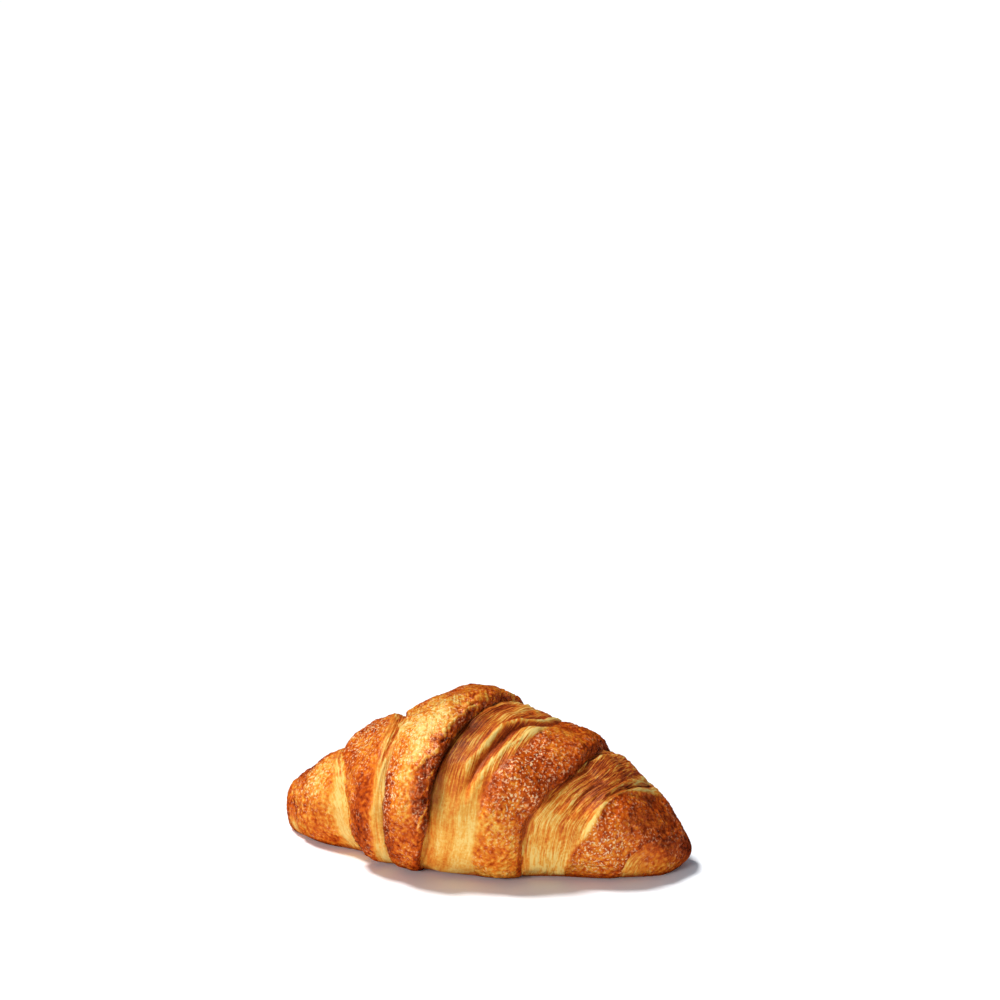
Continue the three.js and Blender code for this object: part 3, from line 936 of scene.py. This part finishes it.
class Shader:
    """A short way to write a node tree: each call adds a node and gives back its output."""

    def __init__(self, name):
        self.material = bpy.data.materials.new(name)
        self.material.use_nodes = True
        self.tree = self.material.node_tree
        self.surface = self.tree.nodes["Principled BSDF"]

    def node(self, kind, inputs=(), output=0, **settings):
        node = self.tree.nodes.new(kind)
        for name, value in settings.items():
            setattr(node, name, value)
        for socket, value in dict(inputs).items():
            self.feed(node.inputs[socket], value)
        return node.outputs[output]

    def feed(self, socket, value):
        if isinstance(value, bpy.types.NodeSocket):
            self.tree.links.new(value, socket)
        else:
            socket.default_value = value

    def set_surface(self, **inputs):
        """Feeds the surface's inputs, told as words joined by underscores."""
        for name, value in inputs.items():
            self.feed(self.surface.inputs[name.replace("_", " ")], value)

    def math(self, operation, a, b=0.0, c=0.0):
        return self.node("ShaderNodeMath", {0: a, 1: b, 2: c}, operation=operation)

    def attribute(self, name):
        return self.node("ShaderNodeAttribute", attribute_name=name, output="Fac")

    def noise(self, vector, scale, detail, roughness):
        inputs = {"Vector": vector, "Scale": scale, "Detail": detail, "Roughness": roughness}
        return self.node("ShaderNodeTexNoise", inputs, output="Fac")

    def off_middle(self, noise, strength, middle=0.5):
        return self.math("MULTIPLY", self.math("SUBTRACT", noise, middle), strength)

    def lines(self, noise, sharpness):
        """Thin lines where a noise passes its middle: 1 on a line, 0 between."""
        off = self.math("ABSOLUTE", self.math("SUBTRACT", noise, 0.5))
        return self.math("MAXIMUM", self.math("SUBTRACT", 1.0, self.math("MULTIPLY", off, sharpness)), 0.0)

    def clamped(self, value):
        return self.node("ShaderNodeClamp", {"Value": value}, output="Result")

    def in_dough(self, across, along, lift):
        """A point of the dough, for threads that run along it."""
        x = self.math("MULTIPLY", self.attribute("across"), across)
        y = self.math("MULTIPLY", self.attribute("along"), along)
        return self.node("ShaderNodeCombineXYZ", {0: x, 1: y, 2: lift})

    def mix(self, share, a, b, **settings):
        return self.node("ShaderNodeMix", {0: share, 6: a, 7: b}, output=2, data_type="RGBA", **settings)

    def bump(self, height, strength, distance, **normal):
        inputs = {"Strength": strength, "Distance": distance, "Height": height, **normal}
        return self.node("ShaderNodeBump", inputs, output="Normal")

    def ramp(self, level, colours):
        ramp = self.tree.nodes.new("ShaderNodeValToRGB")
        self.tree.links.new(level, ramp.inputs["Fac"])
        elements = ramp.color_ramp.elements
        while len(elements) < len(colours):
            elements.new(0.5)
        for element, (position, colour) in zip(elements, colours):
            element.position = position
            element.color = (*colour, 1.0)
        return ramp.outputs["Color"]


def crust_material():
    s = Shader("baked_crust")
    bake, bare, stringy = s.attribute("bake"), s.attribute("bare"), s.attribute("stringy")
    skin = s.math("SUBTRACT", 1.0, bare)
    at = s.node("ShaderNodeTexCoord", output="Object")
    speckle = s.noise(at, *SPECKLES)
    threads = s.noise(s.in_dough(*THREAD_SCALE), *THREADS)

    # painted glints and small light flakes: short curved lines with gaps
    fleck_gaps = s.clamped(s.off_middle(s.noise(at, *FLECK_GAPS), GAP_CONTRAST, GAP_LEVEL))
    fleck = s.math("MULTIPLY", s.lines(s.noise(at, *FLECKS), FLECK_THINNESS), fleck_gaps)
    fleck = s.math("MULTIPLY", fleck, s.attribute("flaky"))

    # how far each spot is baked more or less than the crust around it; the painted glints make their spots
    # paler too
    paler = s.math("MULTIPLY", fleck, FLECK_PALER)
    speckled = s.math("SUBTRACT", s.off_middle(speckle, SPECKLE_CONTRAST), paler)
    thread_lines = s.lines(s.noise(s.in_dough(*LINE_SCALE), *THREAD_LINES), LINE_THINNESS)
    paler = s.math("MULTIPLY", thread_lines, LINE_PALER)
    threaded = s.math("SUBTRACT", s.off_middle(threads, THREAD_CONTRAST), paler)
    grainy = s.off_middle(s.noise(at, *DOUGH_GRAIN), GRAIN_CONTRAST)
    drawn_detail = s.math("MULTIPLY_ADD", threaded, stringy, s.math("MULTIPLY", grainy, bare))
    detail = s.math("MULTIPLY_ADD", speckled, skin, drawn_detail)
    crust = s.ramp(s.math("ADD", bake, detail), BAKE_COLOURS)
    # painted glints: the flecks mix a pale glint colour into the crust
    glint = s.clamped(s.math("MULTIPLY", fleck, GLINT_AND_FLAKE_COVER))
    colour = s.mix(glint, crust, (*GLINT_AND_FLAKE_COLOUR, 1.0))
    # painted shade darkens the crust's colour
    colour = s.mix(1.0, colour, s.attribute("shade"), blend_type="MULTIPLY")

    grain = s.math("MULTIPLY_ADD", fleck, FLECK_HEIGHT, speckle)
    relief = s.math("MULTIPLY_ADD", grain, skin, s.math("MULTIPLY", threads, stringy))
    bump = s.bump(relief, *COARSE_BUMP)
    bump = s.bump(s.noise(at, *POWDER), *FINE_BUMP, Normal=bump)
    roughness = s.math("MULTIPLY_ADD", bare, DRAWN_ROUGHNESS - SKIN_ROUGHNESS, SKIN_ROUGHNESS)
    s.set_surface(
        Base_Color=colour, Roughness=roughness, Normal=bump,
        IOR=GLAZE_IOR, Specular_IOR_Level=0.5, Specular_Tint=(*GLAZE_TINT, 1.0),
    )
    return s.material


# The floor, the lights and the camera

IMAGE = 1000
SENSOR = 36.0
VIEW_AZIMUTH = math.radians(19.2)
VIEW_ELEVATION = math.radians(17.0)
VIEW_DISTANCE = 900.0
VIEW_SCALE = 2.929  # pixels a millimetre at the aim point
AIM = Vector((0.0, 0.0, 28.0))
AIM_PIXEL = (473.6, 775.6)  # where the aim point shows
CLIP_END = 200.0  # metres

FLOOR_FLAT = 3.0  # metres: further out the floor rises gently, so that no horizon shows
FLOOR_REACH = 12.0
FLOOR_SLOPE = math.radians(13.0)
FLOOR_SIDES = 48
FLOOR_COLOUR = (0.98, 0.985, 1.0)
WORLD_LIGHT = 0.22
WORLD_COLOUR = (0.58, 0.82, 1.0)
SUN_LIGHT = 3.3
SUN_BEHIND = math.radians(76.0)  # how far the sun stands to the left of straight behind the croissant
SUN_ELEVATION = math.radians(66.0)
SUN_WIDTH = math.radians(14.0)
FILL_LIGHT = 5.8
FILL_SIZE = 0.25
FILL_AT = (0.60, -0.95, 0.36)  # metres left of, behind and above the croissant, as the camera sees it


def add(name, data):
    thing = bpy.data.objects.new(name, data)
    bpy.context.scene.collection.objects.link(thing)
    return thing


def make_floor():
    ring = [2 * math.pi * side / FLOOR_SIDES for side in range(FLOOR_SIDES)]
    rise = (FLOOR_REACH - FLOOR_FLAT) * math.tan(FLOOR_SLOPE)
    corners = [
        (reach * math.cos(at), reach * math.sin(at), height)
        for reach, height in ((FLOOR_FLAT, 0.0), (FLOOR_REACH, rise)) for at in ring
    ]
    faces = [tuple(range(FLOOR_SIDES))]
    for side in range(FLOOR_SIDES):
        ahead = (side + 1) % FLOOR_SIDES
        faces.append((side, FLOOR_SIDES + side, FLOOR_SIDES + ahead, ahead))
    mesh = bpy.data.meshes.new("floor")
    mesh.from_pydata(corners, [], faces)
    s = Shader("floor")
    s.set_surface(Base_Color=(*FLOOR_COLOUR, 1.0), Roughness=0.9, Specular_IOR_Level=0.0)
    mesh.materials.append(s.material)
    floor = add("floor", mesh)
    floor.visible_glossy = False  # its white would veil the dark crust with grey


def seen_from_camera(left, behind, up):
    """A direction in the room from one that is told as the camera sees it."""
    right_way = Vector((math.cos(VIEW_AZIMUTH), math.sin(VIEW_AZIMUTH), 0.0))
    away = Vector((-math.sin(VIEW_AZIMUTH), math.cos(VIEW_AZIMUTH), 0.0))
    return -right_way * left + away * behind + Vector((0.0, 0.0, up))


def make_lights():
    level = math.cos(SUN_ELEVATION)
    towards_sun = seen_from_camera(
        level * math.sin(SUN_BEHIND), level * math.cos(SUN_BEHIND), math.sin(SUN_ELEVATION))
    sun = bpy.data.lights.new("sun", "SUN")
    sun.energy = SUN_LIGHT
    sun.angle = SUN_WIDTH
    add("sun", sun).rotation_euler = towards_sun.to_track_quat("Z", "Y").to_euler()

    fill = bpy.data.lights.new("fill", "AREA")
    fill.size = FILL_SIZE
    fill.energy = FILL_LIGHT
    lamp = add("fill", fill)
    lamp.location = seen_from_camera(*FILL_AT)
    lamp.rotation_euler = (lamp.location - AIM * MM).to_track_quat("Z", "Y").to_euler()


def make_world():
    world = bpy.data.worlds.new("studio")
    world.use_nodes = True
    background = world.node_tree.nodes["Background"]
    background.inputs["Color"].default_value = (*WORLD_COLOUR, 1.0)
    background.inputs["Strength"].default_value = WORLD_LIGHT
    world.cycles_visibility.glossy = False  # nor does its light veil the crust
    bpy.context.scene.world = world


def make_camera():
    focal = VIEW_SCALE * VIEW_DISTANCE
    back = Vector((
        math.sin(VIEW_AZIMUTH) * math.cos(VIEW_ELEVATION),
        -math.cos(VIEW_AZIMUTH) * math.cos(VIEW_ELEVATION),
        math.sin(VIEW_ELEVATION),
    ))
    right = Vector((math.cos(VIEW_AZIMUTH), math.sin(VIEW_AZIMUTH), 0.0))
    up = back.cross(right)
    # the camera looks past the croissant, which sits low in the picture
    pitch = math.atan((AIM_PIXEL[1] - IMAGE / 2) / focal)
    yaw = math.atan((IMAGE / 2 - AIM_PIXEL[0]) / focal)
    ahead = -back * math.cos(pitch) + up * math.sin(pitch)
    up = right.cross(ahead)
    ahead = ahead * math.cos(yaw) + right * math.sin(yaw)
    right = ahead.cross(up)
    camera = add("camera", bpy.data.cameras.new("camera"))
    camera.data.sensor_width = SENSOR
    camera.data.lens = focal * SENSOR / IMAGE
    camera.data.clip_end = CLIP_END
    turned = Matrix((right, up, -ahead)).transposed().to_4x4()
    camera.matrix_world = Matrix.Translation((AIM + back * VIEW_DISTANCE) * MM) @ turned
    bpy.context.scene.camera = camera


body = make_body()
body.data.materials.append(crust_material())
make_floor()
make_lights()
make_world()
make_camera()
bpy.context.scene.view_settings.view_transform = "Standard"
